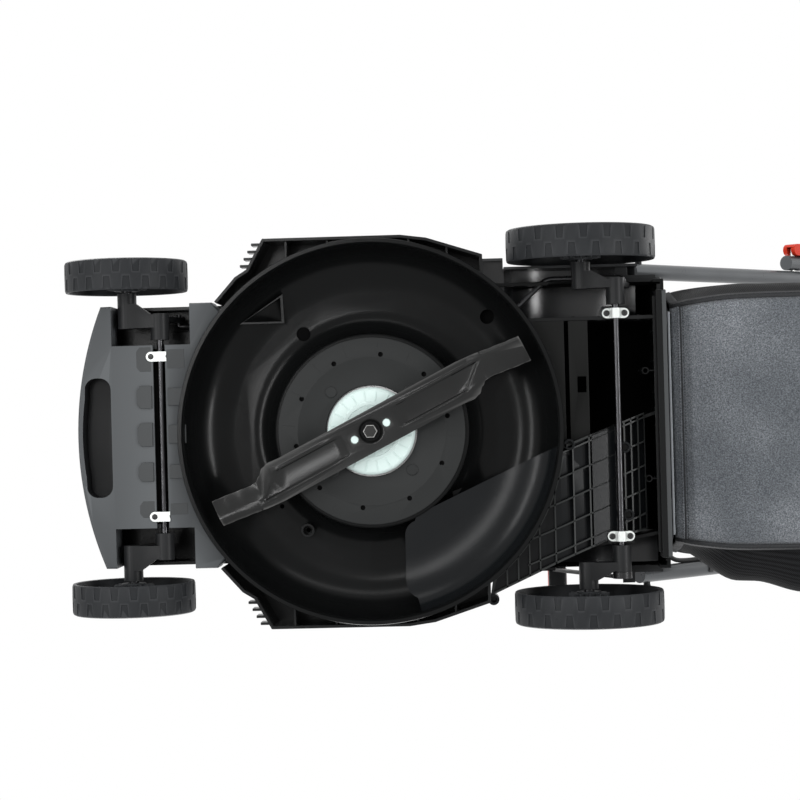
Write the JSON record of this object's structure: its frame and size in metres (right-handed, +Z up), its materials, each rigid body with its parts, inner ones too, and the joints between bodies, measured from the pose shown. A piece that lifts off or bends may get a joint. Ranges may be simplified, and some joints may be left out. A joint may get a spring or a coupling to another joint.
{
  "type": "cordless lawn mower",
  "caption": "Cordless rotary lawn mower: round cutting deck, adjustable axles, rear discharge into a cloth grass bag, and a folding two-tube handle.",
  "frame": {"origin": "on the ground, at the centre of the machine's box", "axes": "+X forward, +Y to the operator's left, +Z up"},
  "size_m": [1.4608, 0.4508, 1.0341],
  "materials": {
    "deck_plastic": "moulded black-grey, satin where worn",
    "apron_plastic": "moulded charcoal, fine grain",
    "chute_plastic": "moulded blue-grey, satin",
    "hood_plastic": "moulded charcoal, satin gloss",
    "black_plastic": "moulded black",
    "orange_plastic": "moulded orange",
    "white_plastic": "pale mint white moulding",
    "motor_grey": "grained grey moulding",
    "tyre_plastic": "moulded black tread",
    "zinc_steel": "bright zinc plate",
    "blade_steel": "black stoved paint",
    "handle_metal": "silver-grey powder coat",
    "bag_fabric": "heathered polyester cloth",
    "foam": "closed-cell foam",
    "cable_rubber": "black PVC sheath"
  },
  "bodies": {
    "mower": {"deck_housing": "deck_plastic", "front_apron": "apron_plastic", "chute_floor": "chute_plastic", "rear_beam": "black_plastic", "motor_plate": "motor_grey", "motor_can": "motor_grey", "hood": "hood_plastic", "battery_tub": "black_plastic", "battery_pack": "black_plastic", "safety_key": "orange_plastic", "speed_controller": "motor_grey", "front_left_strap": "zinc_steel", "front_right_strap": "zinc_steel", "rear_left_strap": "zinc_steel", "rear_right_strap": "zinc_steel", "flap_pin": "zinc_steel", "flap_spring": "zinc_steel", "left_handle_bracket": "black_plastic", "right_handle_bracket": "black_plastic"},
    "blade_rotor": {"motor_shaft": "zinc_steel", "spindle_disc": "white_plastic", "blade": "blade_steel", "blade_bolt": "zinc_steel"},
    "front_axle": {"front_axle_rod": "zinc_steel", "front_left_crank": "black_plastic", "front_right_crank": "black_plastic"},
    "rear_axle": {"rear_axle_rod": "zinc_steel", "rear_left_crank": "black_plastic", "rear_right_crank": "black_plastic", "height_lever": "zinc_steel", "height_lever_grip": "orange_plastic"},
    "link": {"height_link": "zinc_steel"},
    "front_left_wheel": {"front_left_wheel": "tyre_plastic", "front_left_hub_cap": "hood_plastic"},
    "front_right_wheel": {"front_right_wheel": "tyre_plastic", "front_right_hub_cap": "hood_plastic"},
    "rear_left_wheel": {"rear_left_wheel": "tyre_plastic", "rear_left_hub_cap": "hood_plastic"},
    "rear_right_wheel": {"rear_right_wheel": "tyre_plastic", "rear_right_hub_cap": "hood_plastic"},
    "lid": {"battery_lid": "hood_plastic"},
    "flap": {"rear_flap": "deck_plastic"},
    "bag": {"bag_cloth": "bag_fabric", "bag_lid": "black_plastic", "bag_frame": "zinc_steel"},
    "flag": {"bag_full_flag": "orange_plastic"},
    "lower_handle": {"lower_left_tube": "handle_metal", "lower_right_tube": "handle_metal", "lower_cable": "cable_rubber"},
    "upper_handle": {"upper_handle": "handle_metal", "foam_grip": "foam", "switch_box": "black_plastic", "upper_cable": "cable_rubber", "left_clamp_bolt": "zinc_steel", "right_clamp_bolt": "zinc_steel"},
    "left_cam": {"left_clamp_lever": "orange_plastic"},
    "right_cam": {"right_clamp_lever": "orange_plastic"},
    "bail": {"bail_lever": "black_plastic"},
    "button": {"start_button": "orange_plastic"}
  },
  "joints": [
    {"name": "blade_spin", "type": "hinge", "parent": "mower", "child": "blade_rotor", "pos_m": [0.38444, 0, 0.05], "axis": [0, 0, 1], "continuous": true},
    {"name": "height_adjust", "type": "hinge", "parent": "mower", "child": "rear_axle", "pos_m": [0.10344, 0, 0.078], "axis": [0, 1, 0], "range_deg": [-20, 38]},
    {"name": "front_axle_swing", "type": "hinge", "parent": "mower", "child": "front_axle", "pos_m": [0.62244, 0, 0.063], "axis": [0, 1, 0], "range_deg": [-20, 38]},
    {"name": "link_swing", "type": "hinge", "parent": "rear_axle", "child": "link", "pos_m": [0.08944, 0, 0.136], "axis": [0, 1, 0], "range_deg": [-38, 20]},
    {"name": "front_left_wheel_spin", "type": "hinge", "parent": "front_axle", "child": "front_left_wheel", "pos_m": [0.66044, 0.183, 0.07], "axis": [0, 1, 0], "continuous": true},
    {"name": "front_right_wheel_spin", "type": "hinge", "parent": "front_axle", "child": "front_right_wheel", "pos_m": [0.66044, -0.183, 0.07], "axis": [0, 1, 0], "continuous": true},
    {"name": "rear_left_wheel_spin", "type": "hinge", "parent": "rear_axle", "child": "rear_left_wheel", "pos_m": [0.14144, 0.206, 0.085], "axis": [0, 1, 0], "continuous": true},
    {"name": "rear_right_wheel_spin", "type": "hinge", "parent": "rear_axle", "child": "rear_right_wheel", "pos_m": [0.14144, -0.206, 0.085], "axis": [0, 1, 0], "continuous": true},
    {"name": "lid_hinge", "type": "hinge", "parent": "mower", "child": "lid", "pos_m": [0.49144, 0, 0.2743], "axis": [0, 1, 0], "range_deg": [0, 95]},
    {"name": "flap_hinge", "type": "hinge", "parent": "mower", "child": "flap", "pos_m": [0.05444, 0, 0.226], "axis": [0, 1, 0], "range_deg": [0, 60], "stiffness_Nm_per_rad": 0.3, "springref_deg": -20.05},
    {"name": "bag_draw", "type": "slide", "parent": "mower", "child": "bag", "axis": [-1, 0, 0], "range_m": [0, 0.09]},
    {"name": "flag_hinge", "type": "hinge", "parent": "bag", "child": "flag", "pos_m": [-0.27906, 0, 0.2383], "axis": [0, 1, 0], "range_deg": [0, 35]},
    {"name": "lower_handle_fold", "type": "hinge", "parent": "mower", "child": "lower_handle", "pos_m": [0.06644, 0, 0.205], "axis": [0, 1, 0], "range_deg": [0, 105]},
    {"name": "upper_handle_fold", "type": "hinge", "parent": "lower_handle", "child": "upper_handle", "pos_m": [-0.15029, 0, 0.42943], "axis": [0, 1, 0], "range_deg": [-150, 0]},
    {"name": "left_clamp_swing", "type": "hinge", "parent": "upper_handle", "child": "left_cam", "pos_m": [-0.15029, 0.2179, 0.42943], "axis": [0.7193, 0, 0.6947], "range_deg": [-90, 0]},
    {"name": "right_clamp_swing", "type": "hinge", "parent": "upper_handle", "child": "right_cam", "pos_m": [-0.15029, -0.2179, 0.42943], "axis": [0.7193, 0, 0.6947], "range_deg": [0, 90]},
    {"name": "bail_squeeze", "type": "hinge", "parent": "upper_handle", "child": "bail", "pos_m": [-0.6108, 0, 0.90918], "axis": [0, 1, 0], "range_deg": [-22, 0], "stiffness_Nm_per_rad": 1.2, "springref_deg": 28.65},
    {"name": "start_press", "type": "slide", "parent": "upper_handle", "child": "button", "axis": [-0.7193, 0, -0.6947], "range_m": [0, 0.0035], "stiffness_N_per_m": 600, "springref_m": -0.001}
  ],
  "couplings": [
    {"joint": "front_axle_swing", "follows": "height_adjust", "ratio": 1},
    {"joint": "link_swing", "follows": "height_adjust", "ratio": -1}
  ]
}
